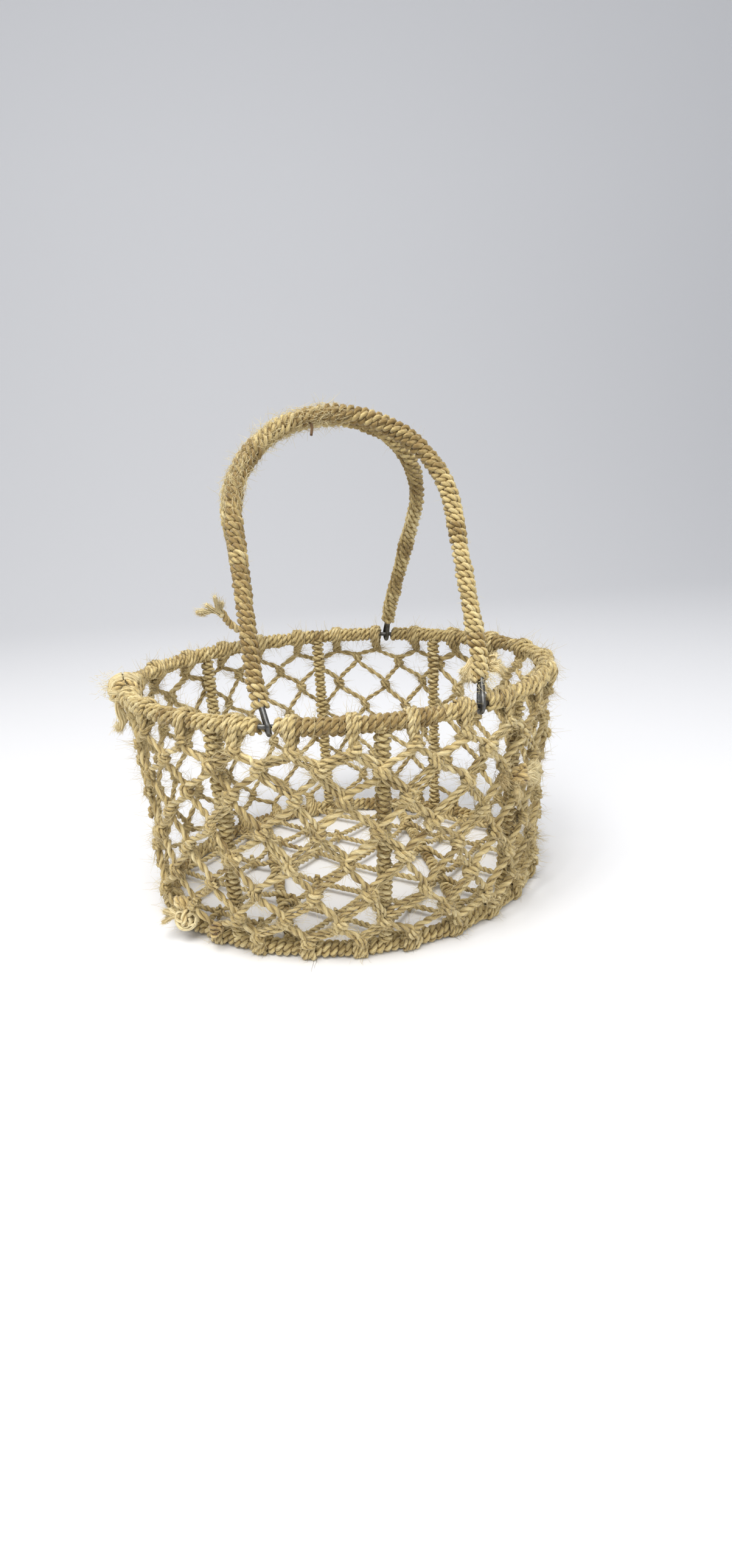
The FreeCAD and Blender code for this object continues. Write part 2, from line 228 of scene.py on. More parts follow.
class Skein:
    """Gathers strands and fibres, and makes one mesh object of them."""

    def __init__(self, name, floor=None):
        self.name = name
        self.floor = floor
        self.points = []
        self.faces = []
        self.caps = []
        self.maps = []
        self.tints = []
        self.roots = []
        self.count = 0

    def tube(self, path, radius, up, sides=SIDES, tint=0.5):
        """A closed round tube along a path. radius and tint are one number or one for each point."""
        _, normal, across = axes_along(path, up)
        turn = np.arange(sides) * 2 * math.pi / sides
        radius = np.broadcast_to(radius, (len(path),))[:, None, None]
        ring = normal[:, None] * np.cos(turn)[None, :, None] + across[:, None] * np.sin(turn)[None, :, None]
        self.points.append((path[:, None] + ring * radius).reshape(-1, 3))
        rows = np.arange(len(path) - 1)[:, None] * sides
        here = np.arange(sides)[None]
        following = (here + 1) % sides
        quads = np.stack([rows + here, rows + following, rows + sides + following, rows + sides + here], -1)
        self.faces.append(quads.reshape(-1, 4) + self.count)
        distance = np.concatenate([[0], np.cumsum(np.linalg.norm(np.diff(path, axis=0), axis=1))])
        distance = distance + rng.uniform(0, 1)
        low_u, high_u = distance[:-1, None], distance[1:, None]
        low_v, high_v = here / sides, (here + 1) / sides
        corners = [(low_u, low_v), (low_u, high_v), (high_u, high_v), (high_u, low_v)]
        shape = (len(path) - 1, sides)
        spread = [np.stack([np.broadcast_to(u, shape), np.broadcast_to(v, shape)], -1) for u, v in corners]
        self.maps.append(np.stack(spread, 2).reshape(-1, 4, 2))
        self.caps.append(np.arange(sides)[::-1] + self.count)
        self.caps.append(np.arange(sides) + self.count + (len(path) - 1) * sides)
        tint = np.broadcast_to(tint, (len(path),))
        self.tints.append(np.repeat(tint, sides))
        self.count += len(path) * sides

    def strand(self, path, radius, lay, up, hairs, shade=0.0, underside_shade=0.0):
        """A twisted strand along a path, with hairs per metre standing off it.

        The tint holds painted shade and light: darker in the grooves between the plies and lighter on their
        outer crests, and darker by the given amount on the side away from up.
        """
        path, along = resample(path)
        tangent, normal, across = axes_along(path, stretched(up, len(path)))
        turn = 2 * math.pi * along / lay + rng.uniform(0, 2 * math.pi) + smooth_noise(along, 2 * lay, 0.6)
        swell = 1 + smooth_noise(along, lay, 0.05)
        for ply in range(PLIES):
            angle = (turn + 2 * math.pi * ply / PLIES)[:, None]
            side = normal * np.cos(angle) + across * np.sin(angle)
            centre = path + side * (radius * PLY_SHIFT * swell)[:, None]
            tint = 0.5 + shade + rng.normal(0, 0.10) + smooth_noise(along, 5 * lay, 0.08)
            self.tube(centre, radius * PLY_RADIUS * swell, side, tint=tint)
            stand = self.points[-1].reshape(len(path), SIDES, 3) - path[:, None]
            # Painted shade and light: the tint drops in the grooves between the plies, rises on their outer
            # crests, and drops on the side away from up.
            depth = np.linalg.norm(stand, axis=2) / radius - GROOVE_LEVEL
            under = np.minimum((stand * normal[:, None]).sum(2) / radius, 0)
            self.tints[-1] = self.tints[-1] + (GROOVE_SHADE * depth + underside_shade * under).reshape(-1)
        number = rng.poisson(hairs * along[-1])
        if number:
            pick = rng.integers(0, len(path), number)
            spin = rng.uniform(0, 2 * math.pi, number)[:, None]
            out = normal[pick] * np.cos(spin) + across[pick] * np.sin(spin)
            self.roots.append(np.stack([path[pick] + out * radius * 0.8, out, tangent[pick]], 1))

    def fibres(self, starts, headings, lengths, radius, curl, droop=0.0, tint=0.85, sections=5):
        """Fine single fibres that leave their starts along their headings. curl is how far they wander."""
        count = len(starts)
        if not count:
            return
        t = np.linspace(0, 1, sections)
        bend = unit(rng.normal(0, 1, (count, 3)))
        second = unit(rng.normal(0, 1, (count, 3)))
        paths = starts[:, None] + headings[:, None] * (lengths[:, None] * t)[..., None]
        paths += bend[:, None] * (lengths[:, None] * curl * t ** 2)[..., None]
        paths += second[:, None] * (lengths[:, None] * curl * 0.5 * np.sin(t * 5.0))[..., None]
        paths[..., 2] -= droop * lengths[:, None] * t ** 2
        taper = radius * (1 - 0.7 * t)
        tangent = unit(np.gradient(paths, axis=1))
        side = unit(np.cross(tangent, bend[:, None] + 0.01))
        other = np.cross(tangent, side)
        turn = np.arange(3) * 2 * math.pi / 3
        ring = side[:, :, None] * np.cos(turn)[:, None] + other[:, :, None] * np.sin(turn)[:, None]
        points = paths[:, :, None] + ring * taper[None, :, None, None]
        self.points.append(points.reshape(-1, 3))
        rows = (np.arange(count)[:, None] * sections + np.arange(sections - 1)[None]).reshape(-1, 1) * 3
        here = np.arange(3)[None]
        following = (here + 1) % 3
        quads = np.stack([rows + here, rows + following, rows + 3 + following, rows + 3 + here], -1)
        self.faces.append(quads.reshape(-1, 4) + self.count)
        self.maps.append(np.zeros((len(quads) * 3, 4, 2)))
        first = (np.arange(count) * sections * 3)[:, None] + self.count
        self.caps += list(first + np.array([[2, 1, 0]]))
        self.caps += list(first + (sections - 1) * 3 + np.array([[0, 1, 2]]))
        tints = np.clip(tint + rng.normal(0, 0.12, count), 0, 1.2)
        self.tints.append(np.repeat(tints, sections * 3))
        self.count += count * sections * 3

    def fuzz(self):
        """Grows the loose hairs, 2 to 8 mm long and a few far longer, whose roots the strands have left."""
        if not self.roots:
            return
        roots = np.concatenate(self.roots)
        count = len(roots)
        lean = rng.normal(0, 1.2, (count, 1))
        headings = unit(roots[:, 1] * 0.8 + roots[:, 2] * lean + rng.normal(0, 0.3, (count, 3)))
        lengths = (2 + 6 * rng.beta(1.2, 3.5, count)) * MM
        lengths[rng.random(count) < 0.006] *= 3
        self.fibres(roots[:, 0], headings, lengths, HAIR_RADIUS, 0.35, 0.08)

    def mat(self, source, share):
        """Loose fibres lying along another skein's strands, share of them for each of its hairs."""
        roots = np.concatenate(source.roots)
        count = int(len(roots) * share)
        roots = roots[rng.integers(0, len(roots), count)]
        sign = rng.choice([-1.0, 1.0], (count, 1))
        headings = unit(roots[:, 2] * sign + roots[:, 1] * 0.04 + rng.normal(0, 0.2, (count, 3)))
        starts = roots[:, 0] + roots[:, 1] * 0.3 * MM
        self.fibres(starts, headings, rng.uniform(6 * MM, 16 * MM, count), FIBRE_RADIUS, 0.14, 0.03, 0.7)

    def tuft(self, root, heading, length, spread, count, width, radius=TUFT_RADIUS, droop=0.2, tint=0.95):
        """A bunch of untwisted fibres, width across where they start."""
        heading = np.asarray(heading, float)
        starts = np.asarray(root) + rng.normal(0, width * 0.5, (count, 3))
        headings = unit(heading / np.linalg.norm(heading) + rng.normal(0, spread, (count, 3)))
        lengths = length * rng.uniform(0.55, 1.1, count)
        self.fibres(starts, headings, lengths, radius, 0.28, droop, tint, 8)

    def lock(self, path, up, width, thickness, count, radius, tint):
        """A flat lock of loose fibres that lie side by side along a path."""
        path, along = resample(smoothed(path), 1.5 * MM)
        _, normal, across = axes_along(path, up)
        fade = np.sin(np.linspace(0.35, math.pi - 0.35, len(path)))
        for _ in range(count):
            spread = math.sqrt(rng.random())
            angle = rng.uniform(0, 2 * math.pi)
            sideways = spread * math.cos(angle) * width / 2 * (1 + smooth_noise(along, 6 * MM, 0.12))
            raised = spread * math.sin(angle) * thickness / 2 + smooth_noise(along, 5 * MM, 0.25 * MM)
            course = path + across * sideways[:, None] + normal * raised[:, None]
            self.tube(course, radius * (0.5 + 0.5 * fade), normal, 5, tint + rng.normal(0, 0.13))

    def fan(self, root, heading, up, length, spread, locks, tint, width):
        """Locks that leave one root and open out by spread degrees, with loose ends."""
        heading = unit(np.asarray(heading, float))
        across = unit(np.cross(up, heading))
        for turn in np.radians(np.linspace(-spread / 2, spread / 2, locks)):
            away = heading * math.cos(turn) + across * math.sin(turn) + rng.normal(0, 0.06, 3)
            reach = length * rng.uniform(0.8, 1.1)
            bow = np.cross(heading, across) * rng.normal(0, 0.12)
            path = [root, root + (heading * 0.6 + away * 0.4 + bow) * reach * 0.4, root + away * reach]
            shade = tint + rng.normal(0, 0.1)
            self.lock(path, up, width, width * 0.8, 30, 0.26 * MM, shade)
            end = root + away * reach * 0.7
            self.tuft(end, away, reach * 0.4, 0.16, 45, width * 0.7, droop=0.03, tint=shade)

    def build(self, material, body, slot, *nodes):
        """The mesh object, riding on its body and standing for its CAD nodes."""
        points = np.concatenate(self.points)
        if self.floor is not None:
            points[:, 2] = np.maximum(points[:, 2], self.floor)
        quads = np.concatenate(self.faces)
        loops = [quads.reshape(-1)] + [np.asarray(cap) for cap in self.caps]
        sizes = [4] * len(quads) + [len(cap) for cap in self.caps]
        loops = np.concatenate(loops)
        sizes = np.array(sizes)
        mesh = bpy.data.meshes.new(self.name)
        mesh.vertices.add(len(points))
        mesh.vertices.foreach_set("co", points.astype(np.float32).reshape(-1))
        mesh.loops.add(len(loops))
        mesh.loops.foreach_set("vertex_index", loops.astype(np.int32))
        mesh.polygons.add(len(sizes))
        starts = np.concatenate([[0], np.cumsum(sizes)[:-1]])
        mesh.polygons.foreach_set("loop_start", starts.astype(np.int32))
        mesh.polygons.foreach_set("loop_total", sizes.astype(np.int32))
        layer = mesh.uv_layers.new(name="UVMap")
        mapped = np.zeros((len(loops), 2), np.float32)
        mapped[: len(quads) * 4] = np.concatenate(self.maps).reshape(-1, 2)
        layer.data.foreach_set("uv", mapped.reshape(-1))
        tint = mesh.attributes.new("tint", "FLOAT", "POINT")
        tint.data.foreach_set("value", np.concatenate(self.tints).astype(np.float32))
        mesh.update(calc_edges=True)
        mesh.validate()
        mesh.shade_smooth()
        obj = bpy.data.objects.new(self.name, mesh)
        bpy.context.scene.collection.objects.link(obj)
        obj.data.materials.append(material)
        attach(obj, body)
        if nodes:
            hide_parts(*nodes)
        return obj


class Oval:
    """The four-arc oval of a ring wire, found from its CAD node. Points are named by normal angle."""

    def __init__(self, node, end_radius):
        low, high = (np.array(corner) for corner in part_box(node))
        wire = (high[2] - low[2]) / 2
        self.z = (high[2] + low[2]) / 2
        half_length, half_width = (high[:2] - low[:2]) / 2 - wire
        reach = half_length - end_radius
        self.end_radius = end_radius
        self.side_radius = (reach ** 2 + half_width ** 2 - end_radius ** 2) / (2 * (half_width - end_radius))
        self.end_centre = reach
        self.side_centre = self.side_radius - half_width
        self.join = math.atan2(self.side_centre, reach)
        self.angles = np.linspace(-2 * math.pi, 4 * math.pi, 6001)
        spans = np.linalg.norm(np.diff(self.point(self.angles), axis=0), axis=1)
        self.lengths = np.concatenate([[0], np.cumsum(spans)])

    def normal(self, angle):
        """The outward direction at this normal angle."""
        angle = np.asarray(angle, float)
        return np.stack([np.cos(angle), np.sin(angle), np.zeros_like(angle)], -1)

    def point(self, angle, shift=0.0):
        """The wire's centre at this normal angle, moved out by shift."""
        angle = np.asarray(angle, float)
        on_end = np.abs(np.sin(angle)) <= math.sin(self.join) + 1e-9
        x = np.where(on_end, self.end_centre * np.sign(np.cos(angle)), 0)
        y = np.where(on_end, 0, -self.side_centre * np.sign(np.sin(angle)))
        radius = np.where(on_end, self.end_radius, self.side_radius)[..., None]
        centre = np.stack([x, y, np.full_like(angle, self.z)], -1)
        return centre + self.normal(angle) * (radius + np.asarray(shift)[..., None])

    def angle_at_x(self, x, side):
        """Normal angle at x on the back (side 1) or the front (side -1), between 0 and a full turn."""
        return (side * math.acos(x / self.side_radius)) % (2 * math.pi)

    def length_at(self, angle):
        """Distance along the oval at a normal angle."""
        return np.interp(angle, self.angles, self.lengths)

    def angle_along(self, length):
        """Normal angle at a distance along the oval."""
        return np.interp(length, self.lengths, self.angles)


# ---------------------------------------------------------------- materials

def shader_tree(name):
    """A new material, its node tree and its surface shader."""
    material = bpy.data.materials.new(name)
    material.use_nodes = True
    tree = material.node_tree
    return material, tree, tree.nodes["Principled BSDF"]


def node(tree, kind, **inputs):
    """A new node of this kind, with the inputs that are named here set."""
    made = tree.nodes.new(kind)
    for key, value in inputs.items():
        made.inputs[key].default_value = value
    return made


def ramp(tree, source, *stops):
    """A colour ramp fed by source. Each stop is (position, colour)."""
    made = tree.nodes.new("ShaderNodeValToRGB")
    tree.links.new(source, made.inputs["Fac"])
    elements = made.color_ramp.elements
    while len(elements) < len(stops):
        elements.new(0.5)
    for element, (position, colour) in zip(elements, stops):
        element.position = position
        element.color = (*colour, 1)
    return made.outputs["Color"]


def mixed(tree, kind, factor, first, second):
    """The colour socket of two colours mixed in this way. Each may be a socket or a value."""
    made = tree.nodes.new("ShaderNodeMix")
    made.data_type = "RGBA"
    made.blend_type = kind
    for socket, value in ((made.inputs[0], factor), (made.inputs[6], first), (made.inputs[7], second)):
        if isinstance(value, bpy.types.NodeSocket):
            tree.links.new(value, socket)
        elif isinstance(value, tuple):
            socket.default_value = (*value, 1)
        else:
            socket.default_value = value
    return made.outputs[2]


def jute(name, dark, middle, light, roughness=0.8):
    """Jute: fine streaks along the plies, blotches of darker stain, and a bump of fibres."""
    material, tree, surface = shader_tree(name)
    mapping = node(tree, "ShaderNodeUVMap")
    stretch = node(tree, "ShaderNodeMapping", Scale=(160, 9, 1))
    tree.links.new(mapping.outputs["UV"], stretch.inputs["Vector"])
    streaks = node(tree, "ShaderNodeTexNoise", Scale=1.0, Detail=5.0, Roughness=0.65)
    tree.links.new(stretch.outputs["Vector"], streaks.inputs["Vector"])
    place = tree.nodes.new("ShaderNodeTexCoord")
    blotches = node(tree, "ShaderNodeTexNoise", Scale=70.0, Detail=4.0, Roughness=0.6)
    tree.links.new(place.outputs["Object"], blotches.inputs["Vector"])
    grain = node(tree, "ShaderNodeTexNoise", Scale=900.0, Detail=2.0, Roughness=0.6)
    tree.links.new(place.outputs["Object"], grain.inputs["Vector"])
    # The tint attribute holds each strand's own tone together with the painted shade and light of its plies.
    tint = tree.nodes.new("ShaderNodeAttribute")
    tint.attribute_name = "tint"
    base = ramp(tree, tint.outputs["Fac"], (0.1, dark), (0.5, middle), (0.95, light))
    streaked = ramp(tree, streaks.outputs["Fac"], (0.32, (0.40, 0.34, 0.26)), (0.5, (0.95, 0.94, 0.92)),
                    (0.7, (1.35, 1.34, 1.3)))
    stained = ramp(tree, blotches.outputs["Fac"], (0.3, (0.72, 0.68, 0.6)), (0.5, (1, 1, 1)),
                   (0.8, (1.08, 1.07, 1.02)))
    colour = mixed(tree, "MULTIPLY", 0.8, base, streaked)
    colour = mixed(tree, "MULTIPLY", 0.7, colour, stained)
    tree.links.new(colour, surface.inputs["Base Color"])
    surface.inputs["Roughness"].default_value = roughness
    surface.inputs["Specular IOR Level"].default_value = 0.3
    surface.inputs["Sheen Weight"].default_value = 0.25
    surface.inputs["Sheen Roughness"].default_value = 0.5
    height = tree.nodes.new("ShaderNodeMath")
    height.operation = "ADD"
    tree.links.new(streaks.outputs["Fac"], height.inputs[0])
    tree.links.new(grain.outputs["Fac"], height.inputs[1])
    bump = node(tree, "ShaderNodeBump", Strength=0.55, Distance=0.0004)
    tree.links.new(height.outputs[0], bump.inputs["Height"])
    tree.links.new(bump.outputs["Normal"], surface.inputs["Normal"])
    return material


def steel():
    """Dark drawn steel wire: fine drawing marks, dull patches and worn bright spots."""
    material, tree, surface = shader_tree("steel_wire")
    place = tree.nodes.new("ShaderNodeTexCoord")
    patches = node(tree, "ShaderNodeTexNoise", Scale=260.0, Detail=5.0, Roughness=0.6)
    marks = node(tree, "ShaderNodeTexNoise", Scale=1500.0, Detail=2.0)
    tree.links.new(place.outputs["Object"], patches.inputs["Vector"])
    tree.links.new(place.outputs["Object"], marks.inputs["Vector"])
    colour = ramp(tree, patches.outputs["Fac"], (0.3, (0.055, 0.05, 0.045)), (0.55, (0.13, 0.13, 0.125)),
                  (0.75, (0.24, 0.24, 0.23)))
    tree.links.new(colour, surface.inputs["Base Color"])
    surface.inputs["Metallic"].default_value = 0.9
    rough = tree.nodes.new("ShaderNodeMapRange")
    rough.inputs["To Min"].default_value = 0.28
    rough.inputs["To Max"].default_value = 0.55
    tree.links.new(patches.outputs["Fac"], rough.inputs["Value"])
    tree.links.new(rough.outputs["Result"], surface.inputs["Roughness"])
    bump = node(tree, "ShaderNodeBump", Strength=0.2, Distance=0.0001)
    tree.links.new(marks.outputs["Fac"], bump.inputs["Height"])
    tree.links.new(bump.outputs["Normal"], surface.inputs["Normal"])
    return material


WRAP = jute("jute_wrapping", (0.30, 0.205, 0.075), (0.63, 0.50, 0.23), (0.88, 0.77, 0.46))
NET = jute("jute_net", (0.27, 0.185, 0.07), (0.60, 0.47, 0.215), (0.86, 0.745, 0.44))
FRAY = jute("jute_frayed", (0.13, 0.07, 0.025), (0.70, 0.53, 0.23), (0.94, 0.83, 0.52), 0.7)
STEEL = steel()

# ---------------------------------------------------------------- wrapped bars

def wind(skein, path, up, winding):
    """Close turns of twine along a bar's path, over a plain core that shows in no gap."""
    path, along = resample(path, 1.0 * MM)
    _, normal, across = axes_along(path, stretched(up, len(path)))
    twine = winding.twine
    # The core's tint of 0.05 gives it the darkest jute colour, as painted shade for any gap between the
    # turns.
    skein.tube(path, winding.outer - twine * 1.05, normal, 12, 0.05)
    turns = along[-1] / winding.pitch
    count = int(turns * 2 * math.pi * (winding.outer - twine) / STEP)
    t = np.linspace(0, along[-1], count)
    angle = winding.hand * 2 * math.pi * t / winding.pitch
    angle = angle + smooth_noise(t, 3 * winding.pitch, 0.55) + rng.uniform(0, 6)
    centre = np.stack([np.interp(t, along, path[:, k]) for k in range(3)], 1)
    side = np.stack([np.interp(t, along, normal[:, k]) for k in range(3)], 1)
    other = np.stack([np.interp(t, along, across[:, k]) for k in range(3)], 1)
    radial = side * np.cos(angle)[:, None] + other * np.sin(angle)[:, None]
    reach = winding.outer - twine + smooth_noise(t, 2 * winding.pitch, 0.3 * MM)
    # Painted shade darkens each turn on its side toward the bar.
    skein.strand(centre + radial * reach[:, None], twine, winding.lay, radial, winding.hairs, underside_shade=0.45)


def ring_wrap(node_name, oval):
    """The twine on one stretch of a ring. The stretch is where the CAD node's own vertices are."""
    points = np.array([v.co for v in frame["nodes"][node_name].data.vertices])
    parts = 720
    spread = np.linspace(0, 2 * math.pi, parts + 1)
    nearest = np.linalg.norm(points[:, None, :2] - oval.point(spread)[None, :, :2], axis=2).argmin(1)
    used = np.unique(nearest)
    gaps = np.diff(np.concatenate([used, [used[0] + parts]]))
    start = spread[used[(gaps.argmax() + 1) % len(used)]]
    reach = math.radians((parts - gaps.max()) * 360 / parts)
    angles = np.linspace(start, start + reach, 400)
    return oval.point(angles), oval.normal(angles)


def straight_bar(node_name):
    """The ends of a straight CAD bar's centreline."""
    points = np.array([v.co for v in frame["nodes"][node_name].data.vertices])
    middle = points.mean(0)
    axis = np.linalg.svd(points - middle, full_matrices=False)[2][0]
    along = (points - middle) @ axis
    return middle + axis * along.min(), middle + axis * along.max()


rim = Oval("rim_wire", RIM_END_RADIUS)
base = Oval("base_wire", BASE_END_RADIUS)

for name in ("front", "back", "left", "right"):
    skein = Skein("rim_twine_" + name)
    path, up = ring_wrap("rim_wrap_" + name, rim)
    wind(skein, path, up, RIM_WINDING)
    skein.mat(skein, 0.6)
    skein.fuzz()
    skein.build(WRAP, "basket", "wrap_twine", "rim_wrap_" + name)

skein = Skein("base_twine", FLOOR_CLEARANCE)
full_turn = np.linspace(0, 2 * math.pi, 900)
wind(skein, base.point(full_turn), base.normal(full_turn), BASE_WINDING)
skein.fuzz()
skein.build(WRAP, "basket", "wrap_twine", "base_wrap")

for side in ("front", "back"):
    for place in RIB_PLACES:
        skein = Skein("rib_twine_%s_%s" % (side, place))
        low, high = straight_bar("rib_wrap_%s_%s" % (side, place))
        wind(skein, np.linspace(low, high, 150), (0, 1, 0), RIB_WINDING)
        skein.fuzz()
        skein.build(WRAP, "basket", "wrap_twine", "rib_wrap_%s_%s" % (side, place))

for place in ("left", "right"):
    skein = Skein("floor_bar_twine_" + place, FLOOR_CLEARANCE)
    low, high = straight_bar("floor_bar_wrap_" + place)
    wind(skein, np.linspace(low, high, 200), UP, BAR_WINDING)
    skein.fuzz()
    skein.build(WRAP, "basket", "wrap_twine", "floor_bar_wrap_" + place)

# ---------------------------------------------------------------- handles

def handle_route(side_name, side, joint):
    """A handle wrapping's centreline, the directions out of and up its plane, its hinge and its seat."""
    low, high = (np.array(corner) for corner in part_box(side_name + "_handle_wire"))
    points = np.array([v.co for v in frame["nodes"][side_name + "_handle_wire"].data.vertices])
    hinge = np.array(joint["pos_m"])
    eyes = points[points[:, 2] < hinge[2]]
    seat = np.abs(eyes[:, 0]).mean()
    wire = np.ptp(eyes[eyes[:, 0] > 0][:, 0]) / 2
    apex = np.array([0, high[1] - wire if side < 0 else low[1] + wire, high[2] - wire])
    rise = (apex - hinge)[1:]
    height = np.linalg.norm(rise)
    upward = np.array([0, rise[0], rise[1]]) / height
    splay = ELBOW_SPLAY[side_name]
    elbow = seat + splay
    start = seat + splay * HANDLE_WRAP_START / EYE_ELBOW
    left_start = HANDLE_WRAP_START - HANDLE_WRAP_DROP
    centre = height - BOW_RADIUS
    gap = math.hypot(elbow, centre - EYE_ELBOW)
    lean = math.asin(BOW_RADIUS / gap) - math.atan2(elbow, centre - EYE_ELBOW)
    arch = np.linspace(-lean, math.pi + lean, 160)
    xs = np.concatenate([[start, elbow], BOW_RADIUS * np.cos(arch), [-elbow, -start]])
    arched = centre + BOW_RADIUS * np.sin(arch)
    heights = np.concatenate([[HANDLE_WRAP_START, EYE_ELBOW], arched, [EYE_ELBOW, left_start]])
    route = hinge + xs[:, None] * X + heights[:, None] * upward
    outward = np.cross(upward, X) * -side
    outward = outward if outward[1] * side > 0 else -outward
    return route, outward, upward, hinge, seat


def rub(skein, route, outward):
    """Fibres rubbed loose and matted flat on the part of a handle that hands hold, left of its top."""
    held, _ = resample(route, 1 * MM)
    held = held[len(held) * 48 // 100: len(held) * 72 // 100]
    tangent, normal, across = axes_along(held, outward)
    pick = rng.integers(0, len(held), RUBBED_FIBRES)
    spin = rng.uniform(0, 2 * math.pi, RUBBED_FIBRES)[:, None]
    stand = normal[pick] * np.cos(spin) + across[pick] * np.sin(spin)
    headings = tangent[pick] * rng.normal(0, 1, (RUBBED_FIBRES, 1))
    headings = unit(headings + rng.normal(0, 0.35, (RUBBED_FIBRES, 3)) - stand * 0.05)
    lengths = rng.uniform(4, 10, RUBBED_FIBRES) * MM
    skein.fibres(held[pick] + stand * HANDLE_WINDING.outer * 0.97, headings, lengths, FIBRE_RADIUS, 0.2)


joints = {joint["child"]: joint for joint in frame["joints"]}
for side_name, side in (("front", -1), ("back", 1)):
    body = side_name + "_handle"
    route, outward, upward, hinge, seat = handle_route(side_name, side, joints[body])
    skein = Skein(side_name + "_handle_twine")
    wind(skein, route, outward, HANDLE_WINDING)
    rub(skein, route, outward)
    skein.fuzz()
    skein.build(WRAP, body, "wrap_twine", side_name + "_handle_wrap")

# ---------------------------------------------------------------- net

def column_lengths(oval, end_name):
    """Distance along the oval of each rib, in the order of the net's columns, from the back right rib on."""
    lengths = []
    for side, places in (("back", (2, 1, 0)), ("front", (0, 1, 2))):
        for place in places:
            ends = straight_bar("rib_wire_%s_%s" % (side, RIB_PLACES[place]))
            top, foot = sorted(ends, key=lambda end: -end[2])
            x = float((top if end_name == "top" else foot)[0])
            lengths.append(oval.length_at(oval.angle_at_x(x, 1 if side == "back" else -1)))
    total = oval.length_at(2 * math.pi) - oval.length_at(0)
    return np.array(lengths + [lengths[0] + total]), total


rim_lengths, rim_total = column_lengths(rim, "top")
base_lengths, base_total = column_lengths(base, "foot")


def column_angle(oval, lengths, total, column):
    """Normal angle at a net column, which may be a fraction, on the rim or the base ring."""
    column = np.asarray(column, float)
    turns = np.floor((column + 0.5) / COLUMNS)
    length = np.interp(column - turns * COLUMNS, RIB_COLUMNS, lengths)
    wrapped = np.where(length > oval.length_at(2 * math.pi), length - total, length)
    return oval.angle_along(wrapped)


def rim_angle(column):
    """Normal angle on the rim at a net column."""
    return column_angle(rim, rim_lengths, rim_total, column)


def base_angle(column):
    """Normal angle on the base ring at a net column."""
    return column_angle(base, base_lengths, base_total, column)


def net_point(column, height, offset):
    """A point on the net's skirt, and the outward direction there.

    Between the ribs at the two ends of the oval nothing holds the net out, so it is drawn in there.
    """
    t = np.clip((height - base.z) / (rim.z - base.z), 0, 1)
    foot, top = base_angle(column), rim_angle(column)
    outward = unit(base.normal(foot) * (1 - t) + rim.normal(top) * t)
    place = base.point(foot) * (1 - t) + rim.point(top) * t
    pull = END_PULL["left" if outward[0] < 0 else "right"] * outward[0] ** END_PULL_FALL
    pull = pull * min(1, t / END_PULL_RISE)
    place = place + outward * (offset - pull)
    place[2] = height
    return place, outward


def knot(skein, centre, outward, size, twine=TIE_TWINE, hairs=KNOT_HAIRS, shade=0.0):
    """A tight overhand knot: about two turns of the strands round each other."""
    sideways = np.cross(UP, outward)
    tilt = rng.normal(0, 0.25)
    lift = UP * math.cos(tilt) + sideways * math.sin(tilt)
    flat = sideways * math.cos(tilt) - UP * math.sin(tilt)
    start = rng.uniform(0, 2 * math.pi)
    turn = np.linspace(0, 2 * math.pi * rng.uniform(1.9, 2.4), 60)
    spread = 1 + 0.1 * np.sin(turn * 0.7 + start)
    wide = KNOT_WIDTH / 2 * size * spread * np.cos(turn + start)
    deep = KNOT_DEPTH / 2 * size * spread * np.sin(turn + start)
    rise = (turn / turn[-1] - 0.5) * KNOT_HEIGHT * size + 1.1 * MM * np.sin(turn + start * 2)
    path = centre + np.outer(wide, flat) + np.outer(deep, outward) + np.outer(rise, lift)
    skein.strand(path, twine * size, 9 * MM, outward, hairs, shade=shade)


def hitch(skein, angle, foot, radius, oval, strands=3):
    """Strands tied round a ring at this angle, whose two ends come together at foot."""
    outward = oval.normal(angle)
    centre = oval.point(angle)
    along = np.cross(UP, outward)
    first, last = (-30, 255) if foot[2] < oval.z else (60, -240)
    turn = np.linspace(math.radians(first), math.radians(last), 40)
    for index in range(strands):
        shift = (index - (strands - 1) / 2) * 2.3 * MM + rng.normal(0, 0.3 * MM)
        reach = radius + rng.normal(0, 0.2 * MM)
        drift = shift + np.linspace(-0.8, 0.8, 40) * MM
        loop = centre + np.outer(np.cos(turn) * reach, outward)
        loop = loop + np.outer(np.sin(turn) * reach, UP) + np.outer(drift, along)
        end = foot + along * shift * 0.3
        path = np.concatenate([[end], loop, [end - outward * 1.5 * MM]])
        skein.strand(smoothed(path), TIE_TWINE, 10 * MM, outward, TIE_HAIRS)


knots = {}
for row, height in enumerate(ROW_HEIGHTS):
    share = row / len(ROW_HEIGHTS)
    for column in range(COLUMNS):
        loose = 0 if row == 0 else 1
        place = column + 0.5 * (row % 2) + NET_SKEW * share ** 1.5 + rng.normal(0, 0.05) * loose
        level = height + rng.normal(0, 1.6 * MM) * loose
        offset = NET_OFFSET + rng.normal(0, 0.7 * MM) * loose
        knots[row, column] = net_point(place, level, offset) + (place,)


def leg(skein, start, end, outward, heft):
    """One side of a mesh, from the foot of one knot to the head of the next.

    Some of the heaviest strands, on the front, are parted into two side by side.
    """
    drop = UP * (start[2] - end[2]) * 0.22
    head = start - UP * 1.5 * MM
    tail = end + UP * 1.5 * MM
    across = unit(np.cross(tail - head, outward))
    parted = rng.random() < PARTED_SHARE * (heft > 1.1)
    for shift in ((-1.5 * MM, 1.5 * MM) if parted else (0.0,)):
        sag = outward * rng.normal(0, 0.8 * MM) + across * shift * 1.4
        aside = across * shift * 0.4
        path = bezier(head + aside, head - drop + sag, tail + drop + sag, tail + aside)
        radius = NET_TWINE * heft * rng.uniform(0.88, 1.1) * (0.72 if parted else 1)
        skein.strand(path, radius, NET_LAY * (0.8 if parted else 1), outward, NET_HAIRS)


